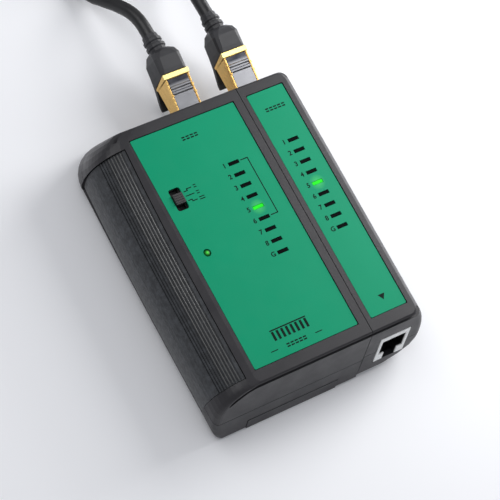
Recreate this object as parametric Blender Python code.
"""Network cable tester: a main unit with a remote unit docked on its right side, and one patch lead.

The frame: +X to the right across the faceplates, +Y towards the end with the patch lead, +Z up out of
the faceplates. The origin is the middle of the tester's footprint, on the table. Sizes are in millimetres
and become metres when they are handed to Blender.
"""

import math

import bmesh
import bpy
from mathutils import Vector

MM = 0.001
GAP = 0.3  # between pieces that touch

# Housing envelope
TOP = 33.5
TOP_HALF_LENGTH = 60.25
END_LEAN = math.tan(math.radians(14))  # the end faces lean out towards the table
SEAM_X = 21.85
HALF_WIDTH = 52.8
REMOTE_BASE = 1.8  # the remote hangs on the dock rail, this far above the table
SHOULDER_X = -35.8  # where the flat top starts to fall towards the grip
LEFT_FOOT_X = -46.6
LEFT_WAIST_Z = 18.0
RIGHT_ARC_X = 40.2
RIGHT_WAIST_Z = 15.0
END_WALL = 2.2
BODY_BOW, GRIP_BOW = 0.6, 1.6  # how far the left side draws in towards the far end
SEAM_WALL = 1.8
FLOOR = 2.0
CEILING_Z = 30.5
MAIN_SPLIT = 13.5
REMOTE_SPLIT = 15.5

# Faceplates
PANEL_NEAR, PANEL_FAR = -54.1, 55.0
MAIN_PANEL = (-33.8, 17.7)
REMOTE_PANEL = (24.6, 42.9)
POCKET_Z = 32.0
PLATE_LOW, PLATE_HIGH = 32.3, 33.2

# Indicators: nine lamps a column, 1 at the far end and the ground lamp last
LAMP_NAMES = ("1", "2", "3", "4", "5", "6", "7", "8", "g")
LAMP_FIRST_Y, LAMP_PITCH = 30.1, 5.38
LAMP_SIZE = (4.9, 1.3)
MAIN_LAMP_X, REMOTE_LAMP_X = 3.9, 34.3
POWER_LAMP = (-27.1, -1.35)
SWITCH_AT = (-26.75, 24.3)
SWITCH_SLOT = (5.5, 10.2)

# Boards
BOARD_LOW, BOARD_HIGH = 24.3, 25.9

# Sockets and plugs stand square to the leaning end faces. Their own frame has Y out of the socket's
# mouth and Z up along the face, from the middle of the mouth.
END_ANGLE = math.radians(14)
MOUTH_Z = 16.0
SOCKET_WIDTH, SOCKET_HALF, SOCKET_DEPTH = 15.4, 8.25, 12.6
PLUG_HALF, PLUG_LOW, PLUG_HIGH = 5.85, -3.4, 4.6
PLUG_IN = 9.8
COLLAR_NEAR, COLLAR_FAR = 14.65, 16.95
PLUG_A_X, PLUG_B_X = 5.1, 35.0
NEAR_SOCKET_X = 36.5

# Where a boot's neck turns level, and where it ends: along Y, then height
NECK_START, NECK_END = (91.2, 20.3), (100.3, 19.8)

# Battery and its door
BATTERY_SIZE = (26.5, 48.5, 17.5)
BATTERY_AT = (-11.85, -26.0)
DOOR_LEFT, DOOR_RIGHT, DOOR_FAR = -34.6, 10.9, 4.0
DOOR_THICK = 1.8
DOOR_LIP_HIGH = 6.2

# Dock: a T rail on the main unit in a channel of the remote
RAIL_Z = 20.0
RAIL_NECK, RAIL_HEAD_X, RAIL_HEAD_HIGH = 3.0, 1.3, 8.0
RAIL_NEAR, RAIL_FAR, CHANNEL_FAR = -50.0, 56.0, 45.5

# Patch lead
CABLE_RADIUS = 3.0
COIL_AT = (19.15, 166.0)
COIL_OUTER, COIL_INNER = 33.0, 27.0
COIL_TOP = 11.7

scene = bpy.context.scene
for old in list(bpy.data.objects):
    bpy.data.objects.remove(old, do_unlink=True)
model = bpy.data.collections.new("network_cable_tester")
cutters = bpy.data.collections.new("cutters")
scene.collection.children.link(model)
scene.collection.children.link(cutters)


# ---------------------------------------------------------------- materials
def material(name, colour, roughness, metallic=0.0):
    made = bpy.data.materials.new(name)
    made.use_nodes = True
    shader = made.node_tree.nodes["Principled BSDF"]
    shader.inputs["Base Color"].default_value = (*colour, 1.0)
    shader.inputs["Roughness"].default_value = roughness
    shader.inputs["Metallic"].default_value = metallic
    return made


HOUSING = material("housing", (0.06, 0.058, 0.062), 0.5)
GRIP = material("grip", (0.045, 0.05, 0.055), 0.75)
GREEN = material("faceplate_green", (0.02, 0.33, 0.19), 0.45)
WHITE = material("socket_white", (0.85, 0.86, 0.85), 0.4)
DARK = material("lamp_dark", (0.01, 0.012, 0.011), 0.3)
LIT = material("lamp_lit", (0.1, 0.95, 0.15), 0.3)
BLACK = material("black_plastic", (0.015, 0.015, 0.017), 0.45)
KNOB = material("knob_grey", (0.10, 0.10, 0.105), 0.5)
BOARD = material("circuit_board", (0.01, 0.16, 0.06), 0.5)
GOLD = material("gold_plate", (0.9, 0.62, 0.2), 0.25, 1.0)
STEEL = material("steel", (0.6, 0.6, 0.62), 0.3, 1.0)
CLEAR = material("plug_plastic", (0.5, 0.5, 0.5), 0.3)
BATTERY = material("battery_jacket", (0.12, 0.12, 0.14), 0.35)
RED = material("wire_red", (0.6, 0.03, 0.02), 0.5)
CABLE = material("cable_jacket", (0.02, 0.02, 0.022), 0.55)


# ---------------------------------------------------------------- builders
def link(mesh, name, finish, home=model):
    made = bpy.data.objects.new(name, mesh)
    home.objects.link(made)
    if finish:
        mesh.materials.append(finish)
    if home is cutters:
        made.hide_render = True
        made.display_type = "WIRE"
    return made


def mesh_of(name, work):
    bmesh.ops.recalc_face_normals(work, faces=work.faces)
    mesh = bpy.data.meshes.new(name)
    work.to_mesh(mesh)
    work.free()
    mesh.shade_smooth()
    mesh.set_sharp_from_angle(angle=math.radians(35))
    return mesh


def box(name, low, high, finish=None, home=model, chamfer=0.0):
    """A box between two corners, with its vertical edges chamfered where asked."""
    work = bmesh.new()
    bmesh.ops.create_cube(work, size=1.0)
    size = [(b - a) * MM for a, b in zip(low, high)]
    middle = [(a + b) / 2 * MM for a, b in zip(low, high)]
    bmesh.ops.scale(work, vec=size, verts=work.verts)
    bmesh.ops.translate(work, vec=middle, verts=work.verts)
    if chamfer:
        upright = [e for e in work.edges if abs(e.verts[0].co.z - e.verts[1].co.z) > 0.5 * size[2]]
        bmesh.ops.bevel(work, geom=upright, offset=chamfer * MM, segments=2, profile=0.5, affect="EDGES")
    return link(mesh_of(name, work), name, finish, home)


def cylinder(name, at, radius, low, high, finish=None, home=model, sides=20):
    """An upright cylinder."""
    work = bmesh.new()
    bmesh.ops.create_cone(
        work, cap_ends=True, segments=sides, radius1=radius * MM, radius2=radius * MM, depth=(high - low) * MM
    )
    bmesh.ops.translate(work, vec=(at[0] * MM, at[1] * MM, (low + high) / 2 * MM), verts=work.verts)
    return link(mesh_of(name, work), name, finish, home)


def loft(name, rings, finish=None, home=model):
    """A closed solid through rings of equally many points."""
    work = bmesh.new()
    rows = [[work.verts.new(Vector(p) * MM) for p in ring] for ring in rings]
    for below, above in zip(rows, rows[1:]):
        for i in range(len(below)):
            j = (i + 1) % len(below)
            work.faces.new((below[i], below[j], above[j], above[i]))
    work.faces.new(rows[0][::-1])
    work.faces.new(rows[-1])
    return link(mesh_of(name, work), name, finish, home)


def extruded(name, outline, low, high, finish=None, home=model, along="Y"):
    """A flat outline carried along one axis. The outline holds the two other coordinates, in order."""
    def place(pair, depth):
        if along == "Y":
            return (pair[0], depth, pair[1])
        if along == "X":
            return (depth, pair[0], pair[1])
        return (pair[0], pair[1], depth)

    return loft(name, [[place(p, depth) for p in outline] for depth in (low, high)], finish, home)


def turned(name, profile, at, finish=None, home=model, sides=20, axis="Z"):
    """A profile of (radius, height) turned about an axis through a point, closed on itself or on the axis."""
    rings = []
    for k in range(sides):
        turn = 2 * math.pi * k / sides
        ring = []
        for radius, height in profile:
            a, b = radius * math.cos(turn), radius * math.sin(turn)
            offset = (a, b, height) if axis == "Z" else (a, height, b)
            ring.append([offset[i] + at[i] for i in range(3)])
        rings.append(ring)
    work = bmesh.new()
    rows = [[work.verts.new(Vector(p) * MM) for p in ring] for ring in rings]
    closed = profile[0][0] > 0
    count = len(profile)
    for k in range(sides):
        here, there = rows[k], rows[(k + 1) % sides]
        for i in range(count if closed else count - 1):
            j = (i + 1) % count
            work.faces.new((here[i], here[j], there[j], there[i]))
    bmesh.ops.remove_doubles(work, verts=work.verts, dist=1e-6)
    bmesh.ops.dissolve_degenerate(work, edges=work.edges, dist=1e-6)
    return link(mesh_of(name, work), name, finish, home)


def joined(name, pieces, home=cutters):
    """Cutters that don't overlap, made one object."""
    work = bmesh.new()
    for piece in pieces:
        work.from_mesh(piece.data)
        bpy.data.objects.remove(piece, do_unlink=True)
    return link(mesh_of(name, work), name, None, home)


def combine(target, tool, operation="DIFFERENCE"):
    step = target.modifiers.new(f"{operation.lower()}_{tool.name}", "BOOLEAN")
    step.operation = operation
    step.solver = "EXACT"
    step.object = tool
    return target


def cut(target, *tools):
    for tool in tools:
        combine(target, tool)
    return target


def add(target, *tools):
    for tool in tools:
        combine(target, tool, "UNION")
    return target


# ---------------------------------------------------------------- envelope
def arc(centre, radius, start, end, steps):
    """Points on a circle, by angle in degrees."""
    turns = [math.radians(start + (end - start) * k / steps) for k in range(steps + 1)]
    return [(centre[0] + radius * math.cos(t), centre[1] + radius * math.sin(t)) for t in turns]


def ellipse_x(z, waist, reach, up):
    """How far out an upright ellipse stands at a height."""
    share = min(1.0, abs(z - waist) / up)
    return reach * math.sqrt(1 - share * share)


def left_x(z):
    if z < LEFT_WAIST_Z:
        return LEFT_FOOT_X - ellipse_x(z, LEFT_WAIST_Z, HALF_WIDTH + LEFT_FOOT_X, LEFT_WAIST_Z)
    return SHOULDER_X - ellipse_x(z, LEFT_WAIST_Z, HALF_WIDTH + SHOULDER_X, TOP - LEFT_WAIST_Z)


def right_x(z):
    reach = HALF_WIDTH - RIGHT_ARC_X
    if z < RIGHT_WAIST_Z:
        return RIGHT_ARC_X + ellipse_x(z, RIGHT_WAIST_Z, reach, RIGHT_WAIST_Z - REMOTE_BASE)
    return RIGHT_ARC_X + ellipse_x(z, RIGHT_WAIST_Z, reach, 20.4)


def end_y(z, base):
    """The end faces lean out towards the table, with a small round at the top and one at the foot."""
    out = TOP_HALF_LENGTH + (TOP - z) * END_LEAN
    foot, brow = 1.4, 1.0
    if z < base + foot:
        share = min(1.0, (base + foot - z) / foot)
        out -= foot * (1 - math.sqrt(1 - share * share))
    if z > TOP - brow:
        out -= 0.8 * ((z - TOP + brow) / brow) ** 2
    return out


def bow(y, most):
    """The left side is straight near the battery end and draws in towards the far one."""
    return most * max(0.0, (y + 10) / 60) ** 2


def main_section(z, inset=0.0, left_inset=0.0):
    """The main unit's outline at a height: square at the seam, and rounder at the far end than the near."""
    left, y = left_x(z) + left_inset, end_y(z, 0.0) - inset
    rise = max(0.0, (z - LEFT_WAIST_Z) / (TOP - LEFT_WAIST_Z))
    far_radius = 15.0 - 8.0 * rise**2 - 0.5 * left_inset
    near_radius = max(1.0, 2.8 - 0.3 * left_inset)
    seam = SEAM_X - GAP / 2 - (SEAM_WALL if inset else 0.0)
    near = arc((left + near_radius, -y + near_radius), near_radius, 270, 180, 5)
    side = [(left, -10.0), (left, 20.0)]
    far = arc((left + far_radius, y - far_radius), far_radius, 180, 90, 7)
    return [(x + bow(yy, BODY_BOW), yy, z) for x, yy in [(seam, -y), *near, *side, *far]] + [(seam, y, z)]


def remote_section(z, inset=0.0):
    """The remote's outline at a height: square at the seam, round on its right."""
    right, y = right_x(z) - inset, end_y(z, REMOTE_BASE) - inset
    radius = 3.6 + 9.0 * max(0.0, 1 - (z - REMOTE_BASE) / 9.0) ** 2 - 0.3 * inset
    seam = SEAM_X + GAP / 2 + (SEAM_WALL if inset else 0.0)
    far = arc((right - radius, y - radius), radius, 90, 0, 6)
    near = arc((right - radius, -y + radius), radius, 0, -90, 6)
    return [(x, yy, z) for x, yy in [(seam, y), *far, *near, (seam, -y)]]


MAIN_LEVELS = (0, 0.4, 1.2, 2.6, 5, 9, MAIN_SPLIT, 18, 21, 23.5, 25.5, 27.3, 29, 30.4, 31.5, 32.4, 33.1, TOP)
REMOTE_LEVELS = (REMOTE_BASE, REMOTE_BASE + 0.3, REMOTE_BASE + 1.2, 5.2, 8.4, 12, REMOTE_SPLIT, 19, 22, 24.5,
                 26.7, 28.6, 30.2, 31.5, 32.5, 33.2, TOP)


def main_solid(name, low, high):
    """The part of the main unit's full envelope between two heights."""
    heights = [low, *[z for z in MAIN_LEVELS if low < z < high], high]
    return loft(name, [main_section(z) for z in heights], HOUSING)


def remote_solid(name, low, high):
    heights = [low, *[z for z in REMOTE_LEVELS if low < z < high], high]
    return loft(name, [remote_section(z) for z in heights], HOUSING)


def main_hollow(name):
    heights = (FLOOR, 6, MAIN_SPLIT, 20, 25, CEILING_Z)
    shift = {CEILING_Z: 8.5, 25: 5.8}
    rings = [main_section(z, END_WALL, shift.get(z, 4.6)) for z in heights]
    return loft(name, rings, None, cutters)


def remote_hollow(name):
    heights = (REMOTE_BASE + FLOOR, 9, REMOTE_SPLIT, 22, 27, CEILING_Z)
    shift = {REMOTE_BASE + FLOOR: 3.4}
    rings = [remote_section(z, shift.get(z, END_WALL)) for z in heights]
    return loft(name, rings, None, cutters)


# The shadow gap under the top edge of an end face
GROOVE_LOW, GROOVE_HIGH, GROOVE_DEEP = 30.8, 32.7, 3.6


def groove_ring(low, high, end, deep=GROOVE_DEEP):
    """One station of a groove, between two places given in X and Z."""
    ring = []
    for (x, z), outwards in ((low, 3.0), (low, -deep), (high, -deep), (high, 3.0)):
        ring.append((x, end * (end_y(z, 0.0) + outwards), z))
    return ring


def end_groove(name, low_x, high_x, end):
    rings = [groove_ring((x, GROOVE_LOW), (x, GROOVE_HIGH), end) for x in (low_x, high_x)]
    return loft(name, rings, None, cutters)


def shoulder_groove(name, high_x, end):
    """The same gap, which goes on down round the left shoulder and runs out to a point."""
    rings = [groove_ring((x, GROOVE_LOW), (x, GROOVE_HIGH), end) for x in (high_x, SHOULDER_X)]
    half = (GROOVE_HIGH - GROOVE_LOW) / 2
    for angle, share in ((10, 1.0), (20, 1.0), (30, 1.0), (40, 1.0), (50, 0.8), (58, 0.3)):
        turn = math.radians(angle)
        inset = TOP - GROOVE_LOW - half + 1.0 * min(1.0, angle / 30)
        sides = []
        for away in (inset + half * share, inset - half * share):
            reach, up = HALF_WIDTH + SHOULDER_X - away, TOP - LEFT_WAIST_Z - away
            sides.append((SHOULDER_X - reach * math.sin(turn), LEFT_WAIST_Z + up * math.cos(turn)))
        rings.append(groove_ring(*sides, end))
    return loft(name, rings, None, cutters)


# ---------------------------------------------------------------- grip
def grip_band(inner, outer, first, last, ribs=0):
    """A band of the left side's profile in X and Z, from an angle on the shoulder down to one at the foot.

    Angles are in degrees: 0 is straight up on the shoulder's ellipse, 90 the waist, 180 the table.
    """
    def at(angle, inset):
        turn = math.radians(angle)
        if angle <= 90:
            reach, up = HALF_WIDTH + SHOULDER_X - inset, TOP - LEFT_WAIST_Z - inset
            return (SHOULDER_X - reach * math.sin(turn), LEFT_WAIST_Z + up * math.cos(turn))
        reach, up = HALF_WIDTH + LEFT_FOOT_X - inset, LEFT_WAIST_Z - inset
        return (LEFT_FOOT_X - reach * math.sin(turn), LEFT_WAIST_Z + up * math.cos(turn))

    points = [at(first, outer)]
    rib_start, rib_step, rib_deep = 17.0, 4.7, 0.55
    for k in range(ribs):
        valley = rib_start + rib_step * k
        points += [at(valley, outer), at(valley + 0.4, outer + rib_deep)]
        points += [at(valley + 2.0, outer + rib_deep), at(valley + 2.4, outer)]
    start = rib_start + rib_step * ribs if ribs else first + 8
    smooth = [start + (last - start) * k / 10 for k in range(11)]
    points += [at(angle, outer) for angle in smooth]
    points += [at(last + (first - last) * k / 12, inner) for k in range(13)]
    return points


GRIP_NEAR, GRIP_FAR = -55.5, 52.5
GRIP_DEEP, GRIP_THICK = 0.35, 1.6
GRIP_STATIONS = (0.0, 0.42, 0.62, 0.82, 1.0)


def along_side(name, outline, near, far, finish=None, home=model):
    """A band of the left side carried from end to end, drawing in as the side does."""
    rings = []
    for share in GRIP_STATIONS:
        y = near + (far - near) * share
        rings.append([(x + bow(y, GRIP_BOW), y, z) for x, z in outline])
    return loft(name, rings, finish, home)


def make_grip():
    outline = grip_band(GRIP_DEEP + GRIP_THICK, GRIP_DEEP, 12, 148, ribs=9)
    return along_side("side_grip", outline, GRIP_NEAR, GRIP_FAR, GRIP)


def grip_recess(name):
    outline = grip_band(GRIP_DEEP + GRIP_THICK + GAP, -6.0, 11, 149.5)
    return along_side(name, outline, GRIP_NEAR - GAP, GRIP_FAR + GAP, None, cutters)


# ---------------------------------------------------------------- sockets
def at_mouth(piece, x, end=1):
    """Moves a piece from its socket's own frame to the far end (1) or the near end (-1)."""
    piece.location = (x * MM, end * (TOP_HALF_LENGTH + (TOP - MOUTH_Z) * END_LEAN) * MM, MOUTH_Z * MM)
    piece.rotation_euler = (END_ANGLE, 0, 0 if end > 0 else math.pi)
    return piece


def socket_opening(name, x, end):
    """Clears an end wall for a socket."""
    half = SOCKET_WIDTH / 2 + GAP
    high = SOCKET_HALF + GAP
    return at_mouth(box(name, (-half, -6.0, -high), (half, 9.0, high), None, cutters), x, end)


def make_socket(name, x, end, finish):
    """A side-entry socket with its mouth flush in the end face. The catch slot is open below."""
    half, high, back = SOCKET_WIDTH / 2, SOCKET_HALF, -SOCKET_DEPTH
    outline = [(back, 1.2 - high), (back + 3.6, -high), (0.15, -high), (0.15, high), (back, high)]
    body = at_mouth(extruded(name, outline, -half, half, finish, along="X"), x, end)
    room = PLUG_HALF + 0.35
    cavity = box(f"{name}_cavity", (-room, back + 1.2, PLUG_LOW - 0.35), (room, 3, PLUG_HIGH + 0.95), None,
                 cutters)
    catch = box(f"{name}_catch", (-3.4, back + 1.2, -high - 2), (3.4, 3, PLUG_LOW), None, cutters)
    return cut(body, at_mouth(cavity, x, end), at_mouth(catch, x, end))


def make_contacts(name, x, end):
    """Eight sprung wires hanging from one carrier, above where the plug goes."""
    pitch, wire_width, root, tip = 1.02, 0.45, -9.4, -3.6
    outline = [(-4.4, root - 1.2)]
    for k in range(8):
        middle = (k - 3.5) * pitch
        left, right = middle - wire_width / 2, middle + wire_width / 2
        outline += [(left, root), (left, tip), (right, tip), (right, root)]
    outline += [(4.4, root - 1.2)]
    low = PLUG_HIGH + 0.3
    return at_mouth(extruded(name, outline, low, low + 0.3, GOLD, along="Z"), x, end)


# ---------------------------------------------------------------- lamps
def lamp_y(index):
    return LAMP_FIRST_Y - LAMP_PITCH * index


def make_lamps(unit, x):
    for index, label in enumerate(LAMP_NAMES):
        half_x, half_y = LAMP_SIZE[0] / 2, LAMP_SIZE[1] / 2
        y = lamp_y(index)
        finish = LIT if label == "5" else DARK
        box(f"{unit}_led_{label}", (x - half_x, y - half_y, BOARD_HIGH + GAP),
            (x + half_x, y + half_y, PLATE_HIGH - 0.1), finish)


def lamp_windows(name, x, spare):
    half_x, half_y = LAMP_SIZE[0] / 2 + spare, LAMP_SIZE[1] / 2 + spare
    windows = []
    for index in range(len(LAMP_NAMES)):
        y = lamp_y(index)
        windows.append(box(f"{name}_{index}", (x - half_x, y - half_y, 31.0), (x + half_x, y + half_y, 35.0),
                           None, cutters))
    return windows


def lamp_slot(name, x):
    """One slot in the cover under a whole column of lamps."""
    near, far = lamp_y(8) - 2.2, lamp_y(0) + 2.2
    return box(name, (x - 3.4, near, CEILING_Z - 2), (x + 3.4, far, TOP), None, cutters)


# ---------------------------------------------------------------- fasteners
MAIN_SCREWS = ((-38.0, 44.0), (-38.0, -46.0), (16.8, 48.0), (16.8, -49.0))
REMOTE_SCREWS = ((33.0, 38.5), (33.0, -34.0))
SCREW_TOP = 22.0


def posts(unit, base, split, places):
    """Hollow posts that meet at the split: (for the cover, for the shell), then the holes in each."""
    cover, shell, holes = [], [], []
    for k, place in enumerate(places, start=1):
        cover.append(cylinder(f"{unit}_cover_post_{k}", place, 2.9, split + GAP / 2, CEILING_Z + 0.6,
                              None, cutters, 16))
        shell.append(cylinder(f"{unit}_shell_post_{k}", place, 3.4, base + FLOOR - 0.6, split - GAP / 2,
                              None, cutters, 16))
        holes.append(turned(f"{unit}_screw_hole_{k}",
                            [(0, base - 1), (2.9, base - 1), (2.9, base + 2.4), (1.6, base + 2.4),
                             (1.6, SCREW_TOP + 1), (0, SCREW_TOP + 1)], (*place, 0), None, cutters, 16))
    return cover, shell, holes


def make_screws(unit, base, places):
    for k, place in enumerate(places, start=1):
        profile = [(0, base + 0.6), (2.5, base + 0.6), (2.5, base + 2.0), (1.2, base + 2.1),
                   (1.2, SCREW_TOP - 1), (0, SCREW_TOP)]
        turned(f"{unit}_screw_{k}", profile, (*place, 0), STEEL, sides=12)


# ---------------------------------------------------------------- main unit
def make_main():
    bottom = main_solid("main_bottom_shell", 0.0, MAIN_SPLIT - GAP / 2)
    top = main_solid("main_top_cover", MAIN_SPLIT + GAP / 2, TOP)
    hollow = main_hollow("main_hollow")
    recess = grip_recess("grip_recess")
    cover_posts, shell_posts, screw_holes = posts("main", 0.0, MAIN_SPLIT, MAIN_SCREWS)
    far_socket = socket_opening("main_socket_opening", PLUG_A_X, 1)
    door_near = -end_y(0.0, 0.0) - 4
    door_gap = box("door_opening", (DOOR_LEFT - GAP, door_near, -1), (DOOR_RIGHT + GAP, DOOR_FAR + GAP,
                   DOOR_THICK + GAP + 0.4), None, cutters)
    lip_gap = door_lip("door_lip_opening", GAP, None, cutters)

    cut(bottom, hollow)
    add(bottom, *shell_posts)
    cut(bottom, recess, joined("main_holes", screw_holes), far_socket, door_gap, lip_gap)

    pocket = box("main_panel_pocket", (MAIN_PANEL[0] - GAP, PANEL_NEAR - GAP, POCKET_Z),
                 (MAIN_PANEL[1] + GAP, PANEL_FAR + GAP, TOP + 2), None, cutters, 0.0)
    switch_window = box("switch_window", (SWITCH_AT[0] - 4.6, SWITCH_AT[1] - 7.4, CEILING_Z - 2),
                        (SWITCH_AT[0] + 4.6, SWITCH_AT[1] + 7.4, TOP), None, cutters)
    power_window = cylinder("power_window", POWER_LAMP, 2.4, CEILING_Z - 2, TOP, None, cutters, 16)
    windows = joined("main_windows", [lamp_slot("main_lamp_slot", MAIN_LAMP_X), switch_window, power_window])
    grooves = joined("main_grooves", [shoulder_groove("main_groove_near", 25.0, -1),
                                      end_groove("main_groove_far", -41.0, 25.0, 1)])
    cut(top, hollow)
    add(top, *cover_posts)
    cut(top, recess, bpy.data.objects["main_holes"], far_socket, pocket, windows, grooves)

    plate = box("main_faceplate", (MAIN_PANEL[0], PANEL_NEAR, PLATE_LOW),
                (MAIN_PANEL[1], PANEL_FAR, PLATE_HIGH), GREEN, chamfer=0.6)
    half_x, half_y = SWITCH_SLOT[0] / 2, SWITCH_SLOT[1] / 2
    slot = box("switch_slot", (SWITCH_AT[0] - half_x, SWITCH_AT[1] - half_y, 31), (SWITCH_AT[0] + half_x,
               SWITCH_AT[1] + half_y, 35), None, cutters, chamfer=1.0)
    power_hole = cylinder("power_hole", POWER_LAMP, 1.75, 31, 35, None, cutters, 16)
    cut(plate, joined("main_plate_holes", [slot, power_hole, *lamp_windows("main_lamp", MAIN_LAMP_X, 0.2)]))

    board = box("main_circuit_board", (-33.0, -43.0, BOARD_LOW), (12.6, 59.8, BOARD_HIGH), BOARD)
    make_socket("main_socket", PLUG_A_X, 1, WHITE)
    make_contacts("main_socket_contacts", PLUG_A_X, 1)
    make_lamps("main", MAIN_LAMP_X)
    turned("power_led", [(0, BOARD_HIGH + GAP), (1.9, BOARD_HIGH + GAP), (1.9, BOARD_HIGH + 1.4),
                         (1.5, BOARD_HIGH + 1.4), (1.5, 32.6), (1.1, 33.2), (0, 33.4)], (*POWER_LAMP, 0), LIT,
           sides=14)
    make_switch()
    box("controller_chip", (-22.0, 0.0, BOARD_HIGH + GAP), (-12.0, 18.0, BOARD_HIGH + 3.2), BLACK)
    make_battery()
    make_door()
    make_screws("main", 0.0, MAIN_SCREWS)
    return board


def make_switch():
    """A three-position slide switch. The knob's foot runs in the body's track."""
    x, y = SWITCH_AT
    body = box("slide_switch_body", (x - 4.2, y - 7.0, BOARD_HIGH + GAP), (x + 4.2, y + 7.0, 31.7), BLACK)
    cut(body, box("switch_track", (x - 2.1, y - 4.9, 30.0), (x + 2.1, y + 4.9, 33.0), None, cutters))
    knob = box("switch_knob", (x - 1.7, y - 2.2, 30.3), (x + 1.7, y + 2.2, 32.1), KNOB)
    cap = box("switch_knob_cap", (x - 2.3, y - 2.3, 32.0), (x + 2.3, y + 2.3, 34.1), None, cutters)
    add(knob, cap)


def make_battery():
    x, y = BATTERY_AT
    half_x, half_y = BATTERY_SIZE[0] / 2, BATTERY_SIZE[1] / 2
    low = DOOR_THICK + 1.1
    high = low + BATTERY_SIZE[2]
    box("battery_9v", (x - half_x, y - half_y, low), (x + half_x, y + half_y - 2.6, high), BATTERY,
        chamfer=1.8)
    far = y + half_y
    box("battery_snap", (x - 12.2, far - 2.3, low + 1.5), (x + 12.2, far + 1.4, high - 1.5), BLACK)
    for side, finish, name in ((-1, RED, "battery_wire_red"), (1, BLACK, "battery_wire_black")):
        start = (x + side * 6.0, far + 1.4 + GAP, low + 9.0)
        bend = (x + side * 6.0, far + 7.5, low + 9.5)
        rise = (x + side * 5.0, far + 11.0, low + 13.0)
        end = (x + side * 4.0, far + 12.0, BOARD_LOW - GAP - 0.6)
        wire(name, (start, bend, rise, end), 0.6, finish)


def door_lip(name, grown, finish=None, home=model):
    """The battery door's turned-up front, which stands hardly proud of the leaning end face."""
    proud = 0.15 if not grown else 6.0
    high = DOOR_LIP_HIGH + grown
    low = 0.6 if not grown else -1.0
    y_low, y_high = TOP_HALF_LENGTH + (TOP - low) * END_LEAN, end_y(high, 0.0)
    inward = 1.5 + grown
    outline = [(-(y_low + proud), low), (-(y_low - inward), low), (-(y_high - inward), high),
               (-(y_high + proud), high)]
    return extruded(name, outline, DOOR_LEFT - grown, DOOR_RIGHT + grown, finish, home, along="X")


def make_door():
    near = -(end_y(2.2, 0.0) + 1.2)
    door = box("battery_door", (DOOR_LEFT, near + 1.5, 0.3), (DOOR_RIGHT, DOOR_FAR, DOOR_THICK), HOUSING)
    add(door, door_lip("door_lip", 0.0, None, cutters))
    middle = (DOOR_LEFT + DOOR_RIGHT) / 2
    ridges = [box(f"thumb_ridge_{k}", (middle - 8, -46.0 - 3 * k, 0.0), (middle + 8, -44.8 - 3 * k, 0.8),
                  None, cutters) for k in range(3)]
    add(door, *ridges)
    return door


def wire(name, points, radius, finish):
    """A bent wire or cable along a list of points, as a welded tube."""
    data = bpy.data.curves.new(name, "CURVE")
    data.dimensions = "3D"
    data.bevel_depth = radius * MM
    data.bevel_resolution = 2
    data.use_fill_caps = True
    spline = data.splines.new("POLY")
    spline.points.add(len(points) - 1)
    for point, place in zip(spline.points, points):
        point.co = (*[c * MM for c in place], 1.0)
    made = bpy.data.objects.new(name, data)
    model.objects.link(made)
    data.materials.append(finish)
    return made


# ---------------------------------------------------------------- dock
def make_dock():
    """The T rail and the channel it runs in. Returns the cutters that let the channel into the remote."""
    start = SEAM_X - GAP / 2 + GAP
    neck_out, room, lip, back = 1.9, 0.35, 1.7, 1.2
    shoulder, crown = start + neck_out, start + neck_out + RAIL_HEAD_X
    low, high = RAIL_Z - RAIL_NECK / 2, RAIL_Z + RAIL_NECK / 2
    head_low, head_high = RAIL_Z - RAIL_HEAD_HIGH / 2, RAIL_Z + RAIL_HEAD_HIGH / 2
    outline = [(start, low), (shoulder, low), (shoulder, head_low), (crown, head_low), (crown, head_high),
               (shoulder, head_high), (shoulder, high), (start, high)]
    extruded("dock_rail", outline, RAIL_NEAR, RAIL_FAR, HOUSING)

    left = SEAM_X + GAP / 2
    neck_low, neck_high = low - room, high + room
    head_low, head_high = head_low - room, head_high + room
    inner, outer = shoulder - room, crown + room
    low_z, high_z = head_low - lip, head_high + lip
    outline = [(left, low_z), (outer + back, low_z), (outer + back, high_z), (left, high_z),
               (left, neck_high), (inner, neck_high), (inner, head_high), (outer, head_high),
               (outer, head_low), (inner, head_low), (inner, neck_low), (left, neck_low)]
    extruded("dock_channel", outline, RAIL_NEAR - 1.5, CHANNEL_FAR, HOUSING)

    seat = box("channel_seat", (left - 3, RAIL_NEAR - 1.5 - GAP, low_z - GAP),
               (outer + back + GAP, CHANNEL_FAR + GAP, high_z + GAP), None, cutters)
    way_out = box("rail_way_out", (left - 3, CHANNEL_FAR, head_low), (outer + 0.45, 75.0, head_high), None,
                  cutters)
    return seat, way_out


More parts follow.
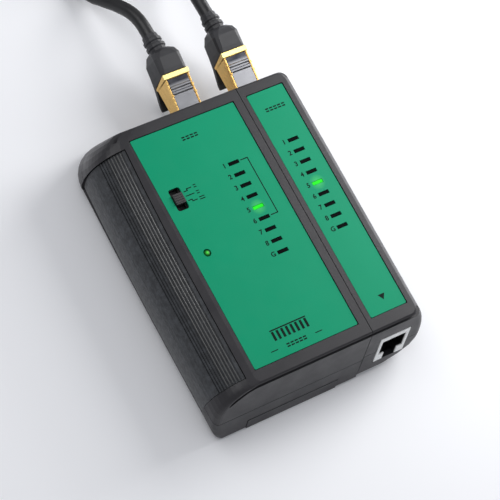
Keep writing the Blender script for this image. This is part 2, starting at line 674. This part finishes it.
# ---------------------------------------------------------------- remote unit
def make_remote(dock_cuts):
    bottom = remote_solid("remote_bottom_shell", REMOTE_BASE, REMOTE_SPLIT - GAP / 2)
    top = remote_solid("remote_top_cover", REMOTE_SPLIT + GAP / 2, TOP)
    hollow = remote_hollow("remote_hollow")
    cover_posts, shell_posts, screw_holes = posts("remote", REMOTE_BASE, REMOTE_SPLIT, REMOTE_SCREWS)
    near = socket_opening("remote_near_opening", NEAR_SOCKET_X, -1)
    far = socket_opening("remote_far_opening", PLUG_B_X, 1)

    cut(bottom, hollow)
    add(bottom, *shell_posts)
    cut(bottom, joined("remote_holes", screw_holes), near, far, *dock_cuts)

    pocket = box("remote_panel_pocket", (REMOTE_PANEL[0] - GAP, PANEL_NEAR - GAP, POCKET_Z),
                 (REMOTE_PANEL[1] + GAP, PANEL_FAR + GAP, TOP + 2), None, cutters, 0.0)
    grooves = joined("remote_grooves", [end_groove("remote_groove_near", 20.0, 56.0, -1),
                                        end_groove("remote_groove_far", 20.0, 56.0, 1)])
    cut(top, hollow)
    add(top, *cover_posts)
    cut(top, bpy.data.objects["remote_holes"], near, far, *dock_cuts, pocket,
        lamp_slot("remote_lamp_slot", REMOTE_LAMP_X), grooves)

    plate = box("remote_faceplate", (REMOTE_PANEL[0], PANEL_NEAR, PLATE_LOW),
                (REMOTE_PANEL[1], PANEL_FAR, PLATE_HIGH), GREEN, chamfer=0.6)
    cut(plate, joined("remote_plate_holes", lamp_windows("remote_lamp", REMOTE_LAMP_X, 0.2)))
    board = box("remote_circuit_board", (28.9, -58.0, BOARD_LOW), (44.6, 59.8, BOARD_HIGH), BOARD)
    cut(board, *[cylinder(f"board_hole_{k}", place, 3.3, BOARD_LOW - 1, BOARD_HIGH + 1, None, cutters, 16)
                 for k, place in enumerate(REMOTE_SCREWS)])
    make_socket("remote_near_socket", NEAR_SOCKET_X, -1, WHITE)
    make_contacts("remote_near_contacts", NEAR_SOCKET_X, -1)
    make_socket("remote_far_socket", PLUG_B_X, 1, WHITE)
    make_contacts("remote_far_contacts", PLUG_B_X, 1)
    make_lamps("remote", REMOTE_LAMP_X)
    make_screws("remote", REMOTE_BASE, REMOTE_SCREWS)


# ---------------------------------------------------------------- patch lead
def plug_ring(top, bottom, half_width, corner):
    """A rounded rectangle between a top and a bottom edge, each given as how far out and how high."""
    centre = [(a + b) / 2 for a, b in zip(top, bottom)]
    tall = math.dist(top, bottom)
    up = [(a - b) / tall for a, b in zip(top, bottom)]
    across, rise = half_width - corner, tall / 2 - corner
    points = []
    for side, level, start in ((1, 1, 0), (-1, 1, 90), (-1, -1, 180), (1, -1, 270)):
        for px, pz in arc((side * across, level * rise), corner, start, start + 90, 2):
            points.append((px, centre[0] + pz * up[0], centre[1] + pz * up[1]))
    return points


def make_shield(label, x):
    """The plug's folded metal shell: it deepens towards the boot and ends in a raised collar."""
    shield = loft(f"plug_{label}_shield", [
        plug_ring((-PLUG_IN, PLUG_HIGH), (-PLUG_IN, PLUG_LOW), PLUG_HALF, 0.3),
        plug_ring((1.5, PLUG_HIGH), (1.5, PLUG_LOW), PLUG_HALF, 0.3),
        plug_ring((COLLAR_NEAR - 0.5, PLUG_HIGH), (11.8, -5.7), 5.95, 0.3),
        plug_ring((COLLAR_NEAR, 5.2), (12.1, -5.9), 6.35, 0.4),
        plug_ring((COLLAR_FAR, 5.2), (12.9, -6.1), 6.35, 0.4)], GOLD)
    at_mouth(shield, x)
    bore = box(f"plug_{label}_bore", (-5.45, -12, PLUG_LOW + 0.4), (5.45, 19, PLUG_HIGH - 0.4), None, cutters)
    catch_slot = box(f"plug_{label}_catch_slot", (-3.3, -12, -8), (3.3, 7.5, 0), None, cutters)
    return cut(shield, at_mouth(bore, x), at_mouth(catch_slot, x))


def make_plug_body(label, x):
    """The plastic body, with its sprung tab hanging down through the shell."""
    low, high = PLUG_LOW + 0.7, PLUG_HIGH - 0.7
    body = box(f"plug_{label}_body", (-5.15, 0.3 - PLUG_IN, low), (5.15, 11.6, high), CLEAR)
    tab = [(-PLUG_IN + 0.5, low + 0.2), (-PLUG_IN + 0.9, low - 1.2), (5.4, -7.0), (5.8, -6.1),
           (-6.6, low + 0.2)]
    tab = extruded(f"plug_{label}_tab", tab, -3.0, 3.0, None, cutters, along="X")
    return add(at_mouth(body, x), at_mouth(tab, x))


def neck_ring(share, radius, x):
    """A circle on the level neck behind a boot."""
    y = NECK_START[0] + (NECK_END[0] - NECK_START[0]) * share
    z = NECK_START[1] + (NECK_END[1] - NECK_START[1]) * share
    lean = math.atan2(NECK_END[1] - NECK_START[1], NECK_END[0] - NECK_START[0])
    ring = arc((0, 0), radius, 0, 360, 14)[:-1]
    return [(x + a, y - b * math.sin(lean), z + b * math.cos(lean)) for a, b in ring]


def make_boot(label, x):
    """The moulded boot: a deep block, a ribbed neck that turns level, and a guard over the plug's tab."""
    boot = loft(f"plug_{label}_boot", [
        plug_ring((17.25, 4.9), (13.3, -6.9), 6.2, 1.2),
        plug_ring((19.0, 5.1), (16.4, -8.6), 6.4, 1.8),
        plug_ring((24.6, 5.1), (23.0, -8.8), 6.4, 2.2),
        plug_ring((27.0, 4.3), (26.4, -7.6), 5.8, 3.2),
        plug_ring((28.4, 2.2), (28.0, -6.2), 4.4, 3.9)], BLACK)
    at_mouth(boot, x)
    ribs = ((0.0, 3.9), (0.22, 3.9), (0.27, 4.4), (0.42, 4.4), (0.47, 3.7), (0.55, 3.7), (0.6, 4.2),
            (0.74, 4.2), (0.79, 3.6), (1.0, 3.5))
    neck = loft(f"plug_{label}_neck", [neck_ring(share, radius, x) for share, radius in ribs], None, cutters)
    guard = [(18.0, -4.8), (18.0, -8.2), (13.5, -8.6), (5.6, -10.6), (3.4, -10.5), (3.2, -9.6), (5.6, -9.2),
             (13.0, -6.6), (14.4, -4.8)]
    guard = extruded(f"plug_{label}_guard", guard, -5.8, 5.8, None, cutters, along="X")
    return add(boot, neck, at_mouth(guard, x))


def make_plug(label, x):
    make_shield(label, x)
    make_plug_body(label, x)
    make_boot(label, x)


def smooth_route(points, spacing):
    """Points at even spacing along a smooth curve through the route's own points."""
    route = [Vector(p) for p in points]
    padded = [2 * route[0] - route[1], *route, 2 * route[-1] - route[-2]]
    fine = []
    for a, b, c, d in zip(padded, padded[1:], padded[2:], padded[3:]):
        for k in range(40):
            t = k / 40
            fine.append(0.5 * (2 * b + (c - a) * t + (2 * a - 5 * b + 4 * c - d) * t**2
                               + (3 * b - a - 3 * c + d) * t**3))
    fine.append(route[-1])
    along = [0.0]
    for a, b in zip(fine, fine[1:]):
        along.append(along[-1] + (b - a).length)
    count = max(2, round(along[-1] / spacing))
    result, i = [], 0
    for k in range(count + 1):
        target = along[-1] * k / count
        while i < len(along) - 2 and along[i + 1] < target:
            i += 1
        share = (target - along[i]) / (along[i + 1] - along[i])
        result.append(tuple(fine[i].lerp(fine[i + 1], share)))
    return result


# Where the cable runs free: level out of each boot, then down towards the coil's two ends
TAIL_A = ((PLUG_A_X, 100.6, 19.8), (5.0, 108.0, 19.3), (4.0, 114.5, 17.4), (1.9, 121.0, 13.6),
          (-0.8, 127.5, 9.0), (-3.5, 133.5, 5.8))
TAIL_B = ((PLUG_B_X, 100.6, 19.8), (35.0, 108.0, 19.4), (35.6, 114.5, 18.0), (37.2, 121.0, 15.4),
          (39.4, 127.5, 12.4), (41.8, 133.5, 10.4))


def make_lead():
    make_plug("a", PLUG_A_X)
    make_plug("b", PLUG_B_X)
    wire("lead_tail_a", smooth_route(TAIL_A, 7.0), CABLE_RADIUS, CABLE)
    wire("lead_tail_b", smooth_route(TAIL_B, 7.0), CABLE_RADIUS, CABLE)
    outer, inner = COIL_OUTER + CABLE_RADIUS, COIL_INNER - CABLE_RADIUS
    profile = [(inner, 0.05), (outer, 0.05), (outer, 2.1 * CABLE_RADIUS), (outer - 3, COIL_TOP),
               (inner + 3, COIL_TOP), (inner, 2.1 * CABLE_RADIUS)]
    turned("lead_coil", profile, (*COIL_AT, 0), CABLE, sides=40)


make_main()
make_remote(make_dock())
make_grip()
make_lead()
